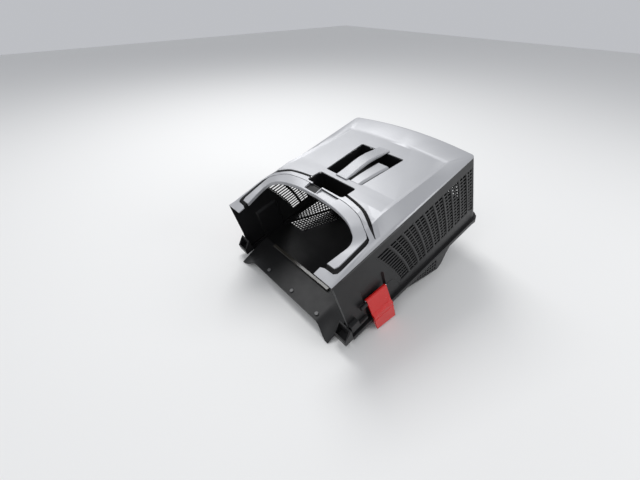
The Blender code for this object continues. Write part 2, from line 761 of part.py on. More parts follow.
def tub_floor(y):
    """Underside of the tub along its length."""
    if y <= TUB_KNEE_Y:
        return parting(y) - TUB_SHELF
    if y <= TUB_HEEL_Y:
        start = parting(TUB_KNEE_Y) - TUB_SHELF
        return mix(start, table_z(TUB_HEEL_Y), (y - TUB_KNEE_Y) / (TUB_HEEL_Y - TUB_KNEE_Y))
    rise = ((TUB_HEEL_Y, table_z(TUB_HEEL_Y)),) + TUB_REAR_PROFILE
    return min(parting(y) - TUB_SHELF, interp(y, rise + ((480.0, parting(480.0) - TUB_SHELF), (700.0, 0.0))))


def build_tub():
    sections = []
    across = (1.0, 0.72, 0.46, 0.0, -0.46, -0.72, -1.0)
    for y in (TUB_FRONT_Y, TUB_KNEE_Y, TUB_HEEL_Y, 401.0, 422.0, 444.0, 468.0, 480.0, 530.0, None):
        last = y is None
        half = TUB_HALF_W - (WALL if last else 0.0)
        section = []
        for inset, up in ((0.0, 0.0), (WALL, WALL)):
            bottom = []
            for share in across:
                x = share * (half - inset)
                back = rear_line(x) - REAR_FLARE * parting(REAR_Y) - 4.0 if last else y
                bottom.append((x, back, tub_floor(back) + up))
            rim = [(p[0], p[1], parting(p[1]) - 2.5) for p in (bottom[0], bottom[-1])]
            ring = [rim[0]] + bottom + [rim[1]]
            section += ring if not inset else ring[::-1]
        sections.append(section)
    tub = add_object("lower_tub", sweep(sections), BLACK)
    rim_sections = []
    for station in full_plan():
        flange = parting(station[1])
        pts = []
        for out, dz in ((-7.0, -GAP / 2), (FLANGE_OUT, -GAP / 2), (FLANGE_OUT, -FLANGE_T), (-1.5, -FLANGE_T),
                        (-7.0, -FLANGE_T)):
            x, y, _ = wall_point(station, flange, out)
            pts.append((x, y, flange + dz))
        rim_sections.append(pts)
    join(tub, "tub_flange", sweep(rim_sections), FRAME)
    for side, name in SIDES:
        outline = [(side * MESH_X[0], MESH_Y[0]), (side * MESH_X[1], MESH_Y[0]),
                   (side * MESH_X[1], MESH_Y[1]), (side * MESH_X[0], MESH_Y[1])]
        cut(tub, cutter("mesh_opening_" + name, prism_z(outline, -340.0, -212.0)))
    outline = [(y, vent_top(y)) for y in VENT_Y] + [(y, vent_low(y)) for y in VENT_Y[::-1]]
    cut(tub, cutter("vent_opening", prism_x(outline, -280.0, 280.0)))
    return tub


def vent_top(y):
    return parting(y) - VENT_BELOW_PARTING


def vent_low(y):
    return tub_floor(y) + VENT_ABOVE_FLOOR


def bars_and_holes(low, high, count, bar):
    """Lines of a row of holes: bar is the share of a cell that its bars take."""
    cell = (high - low) / count
    lines = [low + cell * (k + edge) for k in range(count) for edge in (bar / 2, 1.0 - bar / 2)]
    return [low] + lines + [high]


def build_tub_mesh():
    """Perforated panels: one in each side of the sloping floor, one in each side wall."""
    xs = bars_and_holes(MESH_X[0] + GAP, MESH_X[1] - GAP, 5, 0.48)
    ys = bars_and_holes(MESH_Y[0] + GAP, MESH_Y[1] - GAP - 1.2, 8, 0.4)
    vent_ys = bars_and_holes(VENT_Y[0] + GAP, VENT_Y[1] - GAP, 8, 0.4)
    shares = bars_and_holes(0.01, 0.99, 4, 0.44)
    for side, name in SIDES:
        floor = sheet([[(side * x, y, tub_floor(y) + 0.3) for x in xs] for y in ys])
        perforated("tub_mesh_" + name, floor, len(xs) - 1, MESH_T, (0, 0, -1))
        x = side * (TUB_HALF_W - 0.3)
        wall = sheet([[(x, y, mix(vent_top(y), vent_low(y), share)) for share in shares] for y in vent_ys])
        perforated("tub_side_mesh_" + name, wall, len(shares) - 1, MESH_T, (side, 0, 0))


# ---------------------------------------------------------------- front lip

LIP_Z = -187.5
LIP_FRONT, LIP_REAR = -35.0, 57.0
LIP_HALF = 205.0
LIP_FOOT_X = 150.0
LIP_BOSSES = (-86.0, 26.0, 134.0)
HOOK_X, HOOK_Y = (208.0, 250.0), (-28.0, -1.0)
HOOK_TOP = (-176.0, -150.0)        # top of its front and rear walls
HOOK_LOW = -196.0
HOOK_WALL = 4.0


def lip_under(x, t):
    """Underside of the lip: t runs from its rear edge (0) to its front edge (1)."""
    foot = smooth((abs(x) - LIP_FOOT_X + 6.0) / (LIP_HALF - LIP_FOOT_X))
    y = mix(LIP_REAR, LIP_FRONT - 17.0 * foot, t)
    drop = (t ** 2.2) * foot
    return (x, y, mix(LIP_Z, table_z(y), drop))


def build_lip():
    half = (0.0, 70.0, 144.0, 155.0, 168.0, 182.0, 195.0, LIP_HALF)
    xs = [-x for x in half[:0:-1]] + list(half)
    rows = [[lip_under(x, t) for x in xs] for t in (0.0, 0.35, 0.6, 0.8, 0.92, 1.0)]
    bm = sheet(rows)
    bmesh.ops.recalc_face_normals(bm, faces=bm.faces)
    lip = add_object("lip_plate", bm, BLACK)
    orient(lip, (0, 0, -1))
    thicken(lip, WALL)
    rail = [(-150.0, 46.0), (106.0, 46.0), (106.0, 56.0), (-150.0, 56.0)]
    add_object("lip_rail", prism_z(rail, LIP_Z + WALL + 0.5, LIP_Z + WALL + 7.0), BLACK)
    for number, x in enumerate(LIP_BOSSES, 1):
        boss = cylinder("z", (x, -20.0, LIP_Z + WALL + 2.2), 5.5, 3.0, 14)
        add_object("lip_boss_%d" % number, boss, BLACK)


def hook(side):
    """Upright loop beside the lip, open at the top and low at its front wall."""
    def loop(inset, z):
        x0, x1 = HOOK_X[0] + inset, HOOK_X[1] - inset
        y0, y1 = HOOK_Y[0] + inset, HOOK_Y[1] - inset
        corners = [(x0, y0), (x1, y0), (x1, y1), (x0, y1)]
        return [(side * x, y, z(y) if callable(z) else z) for x, y in corners]

    def brim(y):
        return HOOK_TOP[1] if y > sum(HOOK_Y) / 2 else HOOK_TOP[0]

    return sweep([loop(0.0, HOOK_LOW), loop(0.0, brim),
                  loop(HOOK_WALL, brim), loop(HOOK_WALL, HOOK_LOW + 5.0)])


def on_wall(side, top, low, thick, y_range):
    """Block standing off the side wall between two heights."""
    profile = [(-SIDE_FLARE * z + HALF_W + GAP + out, z) for z, out in
               ((top, 0.0), (top - 1.0, thick), (low, thick), (low, 0.0))]
    return sweep([[(side * x, y, z) for x, z in profile] for y in y_range])


def build_front_fittings():
    """Hanging hooks beside the lip, and the block and bar on each wall above them."""
    for side, name in SIDES:
        add_object("hook_" + name, hook(side), BLACK)
        add_object("hanger_block_" + name, on_wall(side, -146.0, -168.0, 12.0, (2.0, 29.0)), BLACK, HOOD_AXIS)
        add_object("hanger_bar_" + name, on_wall(side, -171.0, -178.0, 8.0, (2.0, 60.0)), BLACK, HOOD_AXIS)


# ---------------------------------------------------------------- clips

CLIP_PROFILE = ((234.0, -120.6), (237.2, -122.6), (249.5, -176.0), (254.5, -179.5), (257.0, -186.0),
                (256.2, -197.0), (257.8, -199.0), (259.0, -216.0), (261.8, -242.0), (262.0, -251.0),
                (259.5, -254.0), (257.0, -248.0), (253.5, -226.0), (250.8, -213.0), (250.6, -192.0),
                (247.0, -184.0), (236.5, -138.0), (229.5, -131.0), (228.2, -126.0), (229.5, -122.0))


def clip_section(side, y):
    """The profile at y: it leans down and out to the rear, and its tail ends just above the table."""
    k = (y - CLIP_Y[0]) / (CLIP_Y[1] - CLIP_Y[0])
    lowest = min(z for _, z in CLIP_PROFILE)
    tail_top = CLIP_TAIL_Z - CLIP_DROP * k
    stretch = (table_z(y) + CLIP_TO_TABLE - tail_top) / (lowest - CLIP_TAIL_Z)
    section = []
    for x, z in CLIP_PROFILE:
        height = z - CLIP_DROP * k if z > CLIP_TAIL_Z else tail_top + (z - CLIP_TAIL_Z) * stretch
        section.append((side * (x + CLIP_SPREAD * k), y, height))
    return section


def clip_rod(side, radius, overhang, segments):
    """Solid rod along the clip's axis, standing out of both its ends."""
    front = Vector((side * CLIP_AXIS_X, CLIP_Y[0], CLIP_AXIS_Z))
    along = Vector((side * CLIP_SPREAD, CLIP_Y[1] - CLIP_Y[0], -CLIP_DROP))
    bm = cylinder("z", (0.0, 0.0, 0.0), radius, along.length + 2 * overhang, segments)
    turn = along.to_track_quat("Z", "Y").to_matrix()
    for vert in bm.verts:
        vert.co = front + along / 2 + turn @ vert.co
    return bm


def build_clips():
    for side, name in SIDES:
        axis = CLIP_AXES[side]
        clip = add_object("clip_" + name, sweep([clip_section(side, y) for y in CLIP_Y]), RED, axis)
        cut(clip, cutter("clip_bore_" + name, clip_rod(side, CLIP_PIN_R + CLIP_PIN_PLAY, 12.0, 16), axis))
        add_object("clip_pin_" + name, clip_rod(side, CLIP_PIN_R, 2.3, 12), STEEL, HOOD_AXIS)
        boss = cylinder("y", (side * 238.4, 57.3, CLIP_AXIS_Z - 0.5), 5.5, 20.0, 16)
        add_object("pin_boss_" + name, boss, BLACK, HOOD_AXIS)


# ---------------------------------------------------------------- rear hinge

def knuckle_ring(x0, x1):
    ring = [(HINGE_Y + KNUCKLE_R * math.cos(a), HINGE_Z + KNUCKLE_R * math.sin(a))
            for a in np.linspace(0, 2 * math.pi, 16, endpoint=False)]
    return prism_x(ring, x0, x1)


def build_hinges():
    """Two hinges: a fork on the tub's flange, a tongue on the hood's, and a pin through both."""
    for side, name in SIDES:
        middle = side * HINGE_X
        edge = rear_line(HINGE_X - 26.0) - REAR_FLARE * HINGE_Z + FLANGE_OUT + 0.5
        z_mid = parting(edge)
        bore = (middle, HINGE_Y, HINGE_Z)

        def tab(x0, x1, reach, low):
            outline = [(edge, low), (reach, low), (reach, low + 5.0), (edge, low + 5.0)]
            return prism_x(outline, middle + x0, middle + x1)

        base = tab(-26.0, 26.0, HINGE_Y - KNUCKLE_R - 1.0, z_mid - 5.6)
        fork = add_object("hinge_fork_" + name, base, BLACK)
        for label, x0, x1 in (("a", -26.0, -10.5), ("b", 10.5, 26.0)):
            arm = tab(x0 + 0.2, x1 - 0.2, HINGE_Y - 1.0, z_mid - 5.4)
            join(fork, "fork_arm_%s_%s" % (label, name), arm, FRAME)
            join(fork, "fork_ring_%s_%s" % (label, name), knuckle_ring(middle + x0, middle + x1), FRAME)
        cut(fork, cutter("fork_bore_" + name, cylinder("x", bore, HINGE_PIN_R + PIN_PLAY, 60.0, 16)))
        ring = knuckle_ring(middle - 10.0, middle + 10.0)
        tongue = add_object("hinge_tongue_" + name, ring, BLACK, HOOD_AXIS)
        join(tongue, "tongue_tab_" + name, tab(-9.8, 9.8, HINGE_Y - 1.0, z_mid + 0.6), HOOD_AXIS)
        hole = cylinder("x", bore, HINGE_PIN_R + PIN_PLAY, 60.0, 16)
        cut(tongue, cutter("tongue_bore_" + name, hole, HOOD_AXIS))
        add_object("hinge_pin_" + name, cylinder("x", bore, HINGE_PIN_R, 56.0, 12), STEEL)


build_upper_body()
build_grilles()
build_cover()
build_mouth_rim()
build_leg_seals()
build_band()
cup("front_pocket", POCKET, 65.0, BLACK)
cup("handle_well", WELL, 60.0, BLACK)
build_grip()
build_ramp()
build_tub()
build_tub_mesh()
build_lip()
build_front_fittings()
build_clips()
build_hinges()
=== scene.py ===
"""Looks of the dethatcher's collection box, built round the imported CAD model."""

import json
import math

import bmesh
import bpy
import numpy as np
from mathutils import Matrix, Vector


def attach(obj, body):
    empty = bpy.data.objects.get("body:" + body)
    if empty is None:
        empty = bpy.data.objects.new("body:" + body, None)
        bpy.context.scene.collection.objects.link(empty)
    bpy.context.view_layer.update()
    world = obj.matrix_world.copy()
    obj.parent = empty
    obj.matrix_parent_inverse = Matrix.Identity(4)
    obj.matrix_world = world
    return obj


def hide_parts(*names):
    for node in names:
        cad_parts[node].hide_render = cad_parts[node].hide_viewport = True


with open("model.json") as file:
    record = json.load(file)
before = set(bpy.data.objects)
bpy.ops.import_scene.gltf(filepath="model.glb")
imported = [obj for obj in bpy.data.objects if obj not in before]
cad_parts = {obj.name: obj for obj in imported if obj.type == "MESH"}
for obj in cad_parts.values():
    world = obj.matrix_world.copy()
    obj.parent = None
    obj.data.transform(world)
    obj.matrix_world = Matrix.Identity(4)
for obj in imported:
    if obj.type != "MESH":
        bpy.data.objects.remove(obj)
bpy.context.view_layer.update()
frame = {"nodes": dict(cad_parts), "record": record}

MM = 0.001
TILT = math.radians(15.0)                      # mouth-down tilt of the box on the table
HINGE_IN_BOX = Vector((0.0, 592.0, -231.0))    # the hood hinge in the box's own frame, mm
JOINTS = {joint["name"]: joint for joint in frame["record"]["behaviour"]["joints"]}
BOX_TO_ROW = (Matrix.Translation(Vector(JOINTS["hood_hinge"]["pos_m"])) @ Matrix.Rotation(TILT, 4, "X")
              @ Matrix.Scale(MM, 4) @ Matrix.Translation(-HINGE_IN_BOX))
SIDES = ((1, "right"), (-1, "left"))

# The walls, in the box's frame and in mm, as part.py draws them
HALF_W, REAR_Y, REAR_BOW = 216.0, 540.0, 15.0
SIDE_FLARE, REAR_FLARE = 0.12, 0.08            # how far a wall leans out per mm of depth
PARTING_Z, PARTING_FALL = -201.0, 0.05
TUB_HALF_W = 237.0
TUB_KNEE, TUB_HEEL = (155.0, -217.75), (380.0, -323.82)

# Grilles: the windows in the walls, the bowed ribs across them and the slots between the ribs
WIN_TOP, WIN_LOW = -28.0, -178.0
WIN_FRONT = ((-28.0, 132.0), (-60.0, 150.0), (-90.0, 165.0), (-120.0, 179.0), (-150.0, 190.0),
             (-178.0, 197.0))
WIN_REAR = (530.0, 540.0)
RIB_TOPS = (178.0, 228.0, 272.0, 312.0, 352.0, 393.0, 428.0, 465.0, 500.0)
RIB_LOWS = (237.0, 277.0, 311.0, 347.0, 378.0, 410.0, 443.0, 476.0, 515.0)
RIB_W, RIB_BOW, RIB_HIGH = 9.0, 7.0, 1.7
RIB_FOOT = 0.1                                 # a rib's base line lies this far inside the wall
RIB_OVERRUN = 1.0                              # a rib runs this far past its window
RIB_STEPS = 18
RIB_END, RIB_TAPER = 0.15, 8.0                 # height share at a rib's ends, and how fast it grows
RIB_SECTION = ((-0.46, -0.6), (-0.46, 0.35), (-0.30, 0.85), (0.0, 1.0), (0.30, 0.85), (0.46, 0.35),
               (0.46, -0.6))                   # across in rib widths, lift in rib heights
REAR_WIN_X, REAR_COLUMNS = 184.0, 8
GRILLE_ROWS = 13
GRILLE_T = 2.5
EDGE_GAP = 0.4                                 # between a fine panel and the CAD panel's outline
SPLIT_BAR = 2.6
SIDE_SPLITS, REAR_SPLITS = 2, 3                # slots side by side between two ribs
SLOT_SHARE = 0.60                              # share of a row's height that its slot takes

# Perforated panels of the tub's floor and side walls
MESH_X, MESH_Y = (160.0, 232.0), (166.0, 344.0)
MESH_REAR_GAP = 1.6
MESH_PITCH, MESH_BAR = 12.6, 4.4
MESH_T = 2.2
MESH_SINK = 0.3                                # a fine panel's outer face lies this far inside
VENT_Y, VENT_BELOW_PARTING, VENT_ABOVE_FLOOR = (196.0, 372.0), 9.5, 5.0
VENT_END, VENT_PITCH, VENT_BAR = 0.01, 0.2, 0.07    # rows, as shares of the vent's height

# Beads and liners
BEAD_SECTION = ((-0.5, -0.5), (-0.5, 0.5), (-0.25, 0.9), (0.25, 0.9), (0.5, 0.5), (0.5, -0.5))
STEP_Y, STEP_Z, STEP_SIZE = (30.0, 236.0), -4.4, (1.0, 0.5)
POCKET_OUTLINE = ((150.0, -140.0), (158.0, -140.5), (166.0, -143.0), (174.0, -148.0), (182.0, -158.0),
                  (189.0, -174.0), (194.0, -192.0))
POCKET_SIZE = (2.2, 1.0)
FRONT_EDGE_Y, FRONT_EDGE_Z, FRONT_EDGE_SINK, FRONT_EDGE_SIZE = 1.8, (-8.0, -186.0), 0.6, (1.6, 1.0)
WALL_BEAD_POINTS = 12
LIP_HALF_X, LIP_Y, LIP_Z, LIP_SIZE, LIP_POINTS = 142.0, -34.8, -185.6, (2.0, 0.7), 14
NOTCH_BOX = ((-49.4, -5.6), (161.6, 184.0), (28.7, 30.2))

# Rounds and shading
SHARP, COVER_SHARP, LOFT_SHARP = 38.0, 20.0, 50.0   # edges above this angle stay sharp, degrees
BEVEL_ANGLE = 30.0
FLAT_ANGLE = 0.6                               # faces this close to one plane are merged, degrees
FACE_WEIGHT = 80
EDGE_ROUND = {
    "top_cover": 0.8, "mouth_rim": 1.0, "finger_ramp": 1.2, "leg_seal_right": 0.6, "leg_seal_left": 0.6,
    "upper_body": 0.7, "lower_tub": 0.8, "lip_plate": 0.8,
    "lip_boss_1": 0.8, "lip_boss_2": 0.8, "lip_boss_3": 0.8,
    "hook_right": 0.9, "hook_left": 0.9, "hanger_block_right": 1.0, "hanger_block_left": 1.0,
    "hanger_bar_right": 1.0, "hanger_bar_left": 1.0, "pin_boss_right": 1.0, "pin_boss_left": 1.0,
    "clip_right": 0.9, "clip_left": 0.9, "clip_pin_right": 0.4, "clip_pin_left": 0.4,
    "hinge_fork_right": 0.6, "hinge_fork_left": 0.6, "hinge_tongue_right": 0.6, "hinge_tongue_left": 0.6,
    "hinge_pin_right": 0.4, "hinge_pin_left": 0.4, "front_pocket": 0.8, "handle_well": 0.8,
    "seal_channel_right": 0.5, "seal_channel_left": 0.5, "mouth_seal_right": 0.3, "mouth_seal_left": 0.3,
}
GRIP_ROUND, GRIP_SEGMENTS = 2.0, 3
RAIL_ROUND, NOTCH_ROUND = 1.0, 0.4

# Surface textures: noise cells per metre, and the depth of their relief in metres
TONE_SCALE, GLOSS_SCALE, GRAIN_SCALE = 9.0, 38.0, 1400.0
GLOSS_DETAIL, GRAIN_DETAIL = 5.0, 2.0
GRAIN_DEPTH = 0.0002
STIPPLE_SCALE, STIPPLE_STRENGTH, STIPPLE_DEPTH = 330.0, 0.5, 0.0006

# Stage, in metres: each light has its name, place, size and power
FLOOR_HALF = 6.0
LIGHT_TARGET = (0.0, 0.0, 0.15)
LIGHTS = (
    ("key", (-1.5, 0.5, 2.4), (1.5, 1.2), 44.0),
    ("front", (0.5, -2.0, 2.4), (1.6, 1.2), 12.0),
    ("side", (2.3, 1.2, 1.3), (1.2, 1.2), 20.0),
)
SKY_COLOUR, SKY_STRENGTH = (0.93, 0.95, 1.0, 1.0), 0.55
CAMERA_AT = (0.5374, -0.6349, 0.7043)
CAMERA_DOWN, CAMERA_TURN = 38.58, 48.48        # degrees below level, and about the vertical
SENSOR_W, LENS = 36.0, 17.73

# ---------------------------------------------------------------- materials


def new_material(name, colour, roughness, metallic=0.0, specular=0.5, coat=0.0):
    mat = bpy.data.materials.new(name)
    mat.use_nodes = True
    shader = mat.node_tree.nodes["Principled BSDF"]
    shader.inputs["Base Color"].default_value = (*colour, 1.0)
    shader.inputs["Roughness"].default_value = roughness
    shader.inputs["Metallic"].default_value = metallic
    shader.inputs["Specular IOR Level"].default_value = specular
    shader.inputs["Coat Weight"].default_value = coat
    return mat


class Nodes:
    """Short way to build a node tree round a material's shader."""

    def __init__(self, mat):
        self.tree = mat.node_tree
        self.shader = self.tree.nodes["Principled BSDF"]
        self.coords = self.add("ShaderNodeTexCoord").outputs["Object"]

    def add(self, kind, **values):
        node = self.tree.nodes.new(kind)
        for key, value in values.items():
            if hasattr(node, key):
                setattr(node, key, value)
            else:
                node.inputs[key.replace("_", " ")].default_value = value
        return node

    def link(self, source, target):
        self.tree.links.new(source, target)

    def noise(self, scale, detail=3.0):
        node = self.add("ShaderNodeTexNoise", Scale=scale, Detail=detail, Roughness=0.55)
        self.link(self.coords, node.inputs["Vector"])
        return node.outputs["Fac"]

    def ramp(self, source, low, high, start=0.3, end=0.7):
        node = self.add("ShaderNodeMapRange")
        node.inputs["From Min"].default_value = start
        node.inputs["From Max"].default_value = end
        node.inputs["To Min"].default_value = low
        node.inputs["To Max"].default_value = high
        self.link(source, node.inputs["Value"])
        return node.outputs["Result"]

    def colour_between(self, source, first, second):
        node = self.add("ShaderNodeMix", data_type="RGBA")
        factor, colour_a, colour_b = node.inputs[0], node.inputs[6], node.inputs[7]
        colour_a.default_value = (*first, 1.0)
        colour_b.default_value = (*second, 1.0)
        self.link(source, factor)
        return node.outputs[2]

    def bump(self, height, strength, distance):
        node = self.add("ShaderNodeBump")
        node.inputs["Strength"].default_value = strength
        node.inputs["Distance"].default_value = distance
        self.link(height, node.inputs["Height"])
        self.link(node.outputs["Normal"], self.shader.inputs["Normal"])


def moulded(name, colour, other, roughness, grain, cloud=0.03, **extra):
    """Moulded plastic or metal: cloudy colour, uneven gloss and a fine grain."""
    mat = new_material(name, colour, roughness, **extra)
    n = Nodes(mat)
    tone = n.ramp(n.noise(TONE_SCALE), 0.0, 1.0)
    n.link(n.colour_between(tone, colour, other), n.shader.inputs["Base Color"])
    gloss = n.noise(GLOSS_SCALE, GLOSS_DETAIL)
    n.link(n.ramp(gloss, roughness - cloud, roughness + cloud), n.shader.inputs["Roughness"])
    n.bump(n.noise(GRAIN_SCALE, GRAIN_DETAIL), grain, GRAIN_DEPTH)
    return mat


def grip_material():
    """Silver plastic with a fine stipple all over."""
    mat = new_material("silver_grip", (0.42, 0.425, 0.44), 0.42, metallic=0.2)
    n = Nodes(mat)
    dots = n.add("ShaderNodeTexVoronoi", Scale=STIPPLE_SCALE)
    n.link(n.coords, dots.inputs["Vector"])
    n.bump(n.ramp(dots.outputs["Distance"], 1.0, 0.0, 0.1, 0.45), STIPPLE_STRENGTH, STIPPLE_DEPTH)
    # Painted highlight and shade: the raised middles of the dots are lighter, the hollows between them
    # darker
    shade = n.ramp(dots.outputs["Distance"], 1.0, 0.0, 0.15, 0.4)
    n.link(n.colour_between(shade, (0.36, 0.365, 0.38), (0.50, 0.505, 0.52)), n.shader.inputs["Base Color"])
    return mat


SILVER = moulded("silver_plastic", (0.385, 0.39, 0.405), (0.405, 0.41, 0.425), 0.40, 0.10, 0.012,
                 metallic=0.25)
BLACK = moulded("black_plastic", (0.008, 0.008, 0.0085), (0.013, 0.013, 0.0135), 0.40, 0.25, specular=0.34)
# Matt black for the handle well and the notch sheet, a little darker than the black plastic: the extra
# darkness is painted shade in these hollows
BLACK_SHADED = moulded("black_plastic_painted_shade", (0.006, 0.006, 0.0065), (0.010, 0.010, 0.0105), 0.55, 0.3,
                     specular=0.25)
RUBBER = moulded("black_rubber", (0.004, 0.004, 0.004), (0.007, 0.007, 0.007), 0.55, 0.3, specular=0.2)
RED = moulded("red_plastic", (0.56, 0.008, 0.007), (0.62, 0.012, 0.010), 0.25, 0.05, specular=0.4, coat=0.25)
BOSS_GREY = moulded("grey_plastic", (0.11, 0.11, 0.112), (0.15, 0.15, 0.152), 0.40, 0.2)
RAIL_GREY = moulded("rail_plastic", (0.028, 0.026, 0.022), (0.045, 0.041, 0.034), 0.18, 0.1)
# Grey for the bright lines along the step line, the walls' front edges and the lip's front edge: painted
# highlight where light catches these edges
EDGE_HIGHLIGHT = moulded("edge_highlight_plastic", (0.10, 0.10, 0.102), (0.15, 0.15, 0.152), 0.26, 0.1)
STEEL = moulded("steel", (0.52, 0.52, 0.53), (0.6, 0.6, 0.6), 0.3, 0.1, metallic=1.0)
GRIP = grip_material()
SLOT_MATERIAL = {"silver": SILVER, "black": BLACK, "seal": RUBBER, "red": RED, "steel": STEEL}
OWN_MATERIAL = {"handle_well": BLACK_SHADED, "lip_boss_1": BOSS_GREY, "lip_boss_2": BOSS_GREY,
                "lip_boss_3": BOSS_GREY}

# ---------------------------------------------------------------- pieces


def to_piece(name, bm, mat, body):
    """A mesh drawn in the row frame, in metres, becomes a piece that rides on a body."""
    mesh = bpy.data.meshes.new(name)
    bm.to_mesh(mesh)
    bm.free()
    mesh.materials.append(mat)
    obj = bpy.data.objects.new(name, mesh)
    bpy.context.scene.collection.objects.link(obj)
    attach(obj, body)
    return obj


def soften(obj, width, segments=2, sharp=SHARP):
    """Small rounds on the piece's sharp edges, and smooth shading between them."""
    rounding = obj.modifiers.new("round", "BEVEL")
    rounding.width = width * MM
    rounding.segments = segments
    rounding.limit_method = "ANGLE"
    rounding.angle_limit = math.radians(BEVEL_ANGLE)
    obj.data.shade_smooth()
    obj.data.set_sharp_from_angle(angle=math.radians(sharp))
    weighted = obj.modifiers.new("flat_faces_first", "WEIGHTED_NORMAL")
    weighted.keep_sharp = True
    weighted.weight = FACE_WEIGHT


def node_body(node):
    return next(body for body, nodes in frame["record"]["behaviour"]["bodies"].items() if node in nodes)


def node_slot(node):
    return next(part["material_slot"] for part in frame["record"]["subparts"] if part["node"] == node)


def refined(node, width, mat=None, segments=2):
    """The CAD node's own shape with its edges rounded and a finished material."""
    bm = bmesh.new()
    bm.from_mesh(frame["nodes"][node].data)
    bmesh.ops.remove_doubles(bm, verts=bm.verts, dist=1e-6)
    bmesh.ops.dissolve_limit(bm, angle_limit=math.radians(FLAT_ANGLE), verts=bm.verts, edges=bm.edges)
    slot = node_slot(node)
    piece = to_piece(node + "_skin", bm, mat or SLOT_MATERIAL[slot], node_body(node))
    soften(piece, width, segments, COVER_SHARP if node == "top_cover" else SHARP)
    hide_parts(node)


def build_skins():
    for node, width in EDGE_ROUND.items():
        refined(node, width, OWN_MATERIAL.get(node))
    refined("handle_grip", GRIP_ROUND, GRIP, GRIP_SEGMENTS)
    refined("lip_rail", RAIL_ROUND, RAIL_GREY)


def mix(a, b, t):
    return a + (b - a) * t


def sheet(rows):
    """Open surface through rows of box-frame points, moved to the row frame."""
    bm = bmesh.new()
    grid = [[bm.verts.new(BOX_TO_ROW @ Vector(p)) for p in row] for row in rows]
    for low, high in zip(grid, grid[1:]):
        for k in range(len(low) - 1):
            bm.faces.new((low[k], low[k + 1], high[k + 1], high[k]))
    return bm


def punch(bm, across):
    """Every second face of every second row goes, which leaves bars round the holes."""
    bm.faces.ensure_lookup_table()
    holes = [face for k, face in enumerate(bm.faces) if (k // across) % 2 == 1 and (k % across) % 2 == 1]
    bmesh.ops.delete(bm, geom=holes, context="FACES_ONLY")


def solid_panel(name, bm, outward, thickness, body, node):
    """An open sheet, turned outward and thickened inward, that stands for a CAD node."""
    outward = (BOX_TO_ROW.to_3x3() @ Vector(outward)).normalized()
    bmesh.ops.recalc_face_normals(bm, faces=bm.faces)
    bm.normal_update()
    total = sum((face.normal * face.calc_area() for face in bm.faces), Vector())
    if total.dot(outward) < 0:
        bmesh.ops.reverse_faces(bm, faces=bm.faces)
    piece = to_piece(name, bm, BLACK, body)
    skin = piece.modifiers.new("thickness", "SOLIDIFY")
    skin.thickness = thickness * MM
    skin.offset = -1.0
    skin.use_even_offset = True
    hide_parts(node)


def lofted(name, rings, mat, body):
    """A closed piece skinned over rings of box-frame points, smooth along its length."""
    bm = bmesh.new()
    rings = [[bm.verts.new(BOX_TO_ROW @ Vector(p)) for p in ring] for ring in rings]
    for low, high in zip(rings, rings[1:]):
        for n in range(len(low)):
            m = (n + 1) % len(low)
            bm.faces.new((low[n], low[m], high[m], high[n]))
    bm.faces.new(rings[0][::-1])
    bm.faces.new(rings[-1])
    bmesh.ops.recalc_face_normals(bm, faces=bm.faces)
    piece = to_piece(name, bm, mat, body)
    piece.data.shade_smooth()
    piece.data.set_sharp_from_angle(angle=math.radians(LOFT_SHARP))


# ---------------------------------------------------------------- slotted grilles of the hood


def on_side(side):
    """Places a point of a side wall from its y, its z and its depth into the wall."""
    return lambda y, z, depth: (side * (HALF_W - SIDE_FLARE * z - depth), y, z)


def on_rear(x, z, depth):
    rear_line = REAR_Y + REAR_BOW * (1.0 - (x / HALF_W) ** 2)
    return (x, rear_line - REAR_FLARE * z - depth, z)


def side_column(index, z):
    """y of a grille line at depth z: 0 is the front edge, then the ribs, then the rear edge."""
    t = (WIN_TOP - z) / (WIN_TOP - WIN_LOW)
    if index == 0:
        return float(np.interp(-z, [-depth for depth, _ in WIN_FRONT], [y for _, y in WIN_FRONT]))
    if index == len(RIB_TOPS) + 1:
        return mix(WIN_REAR[0], WIN_REAR[1], t)
    bow = RIB_BOW * (1.0 - index / (len(RIB_TOPS) + 1)) * 4.0 * t * (1.0 - t)
    return mix(RIB_TOPS[index - 1], RIB_LOWS[index - 1], t) + bow


def slot_lines(start, end, splits):
    """Both edges of each slot between two ribs, with narrow bars between the slots."""
    slot = (end - start - SPLIT_BAR * (splits - 1)) / splits
    lines = []
    for n in range(splits):
        lines += [start + n * (slot + SPLIT_BAR), start + n * (slot + SPLIT_BAR) + slot]
    return lines


def side_lines(z):
    """Upright lines of a side grille; its first column is too narrow to be split."""
    lines, last = [side_column(0, z) + EDGE_GAP], len(RIB_TOPS) + 1
    for k in range(last):
        start, end = side_column(k, z) + RIB_W / 2, side_column(k + 1, z) - RIB_W / 2
        lines += slot_lines(start, end, SIDE_SPLITS if k else 1)
    return lines + [side_column(last, z) - EDGE_GAP]


def rear_lines(_z):
    """Upright lines of the rear grille, the same at every depth."""
    width = 2 * REAR_WIN_X / REAR_COLUMNS
    lines = [-REAR_WIN_X + EDGE_GAP]
    for k in range(REAR_COLUMNS):
        start, end = -REAR_WIN_X + k * width + RIB_W / 2, -REAR_WIN_X + (k + 1) * width - RIB_W / 2
        lines += slot_lines(start, end, REAR_SPLITS)
    return lines + [REAR_WIN_X - EDGE_GAP]


def grille_rows():
    pitch = (WIN_TOP - WIN_LOW) / GRILLE_ROWS
    rows = [WIN_TOP - EDGE_GAP]
    for k in range(GRILLE_ROWS):
        middle = WIN_TOP - pitch * (k + 0.5)
        rows += [middle + pitch * SLOT_SHARE / 2, middle - pitch * SLOT_SHARE / 2]
    return rows + [WIN_LOW + EDGE_GAP]


def grille(name, node, lines, place, outward):
    rows = grille_rows()
    bm = sheet([[place(u, z, EDGE_GAP) for u in lines(z)] for z in rows])
    punch(bm, len(lines(rows[0])) - 1)
    solid_panel(name, bm, outward, GRILLE_T, "hood", node)


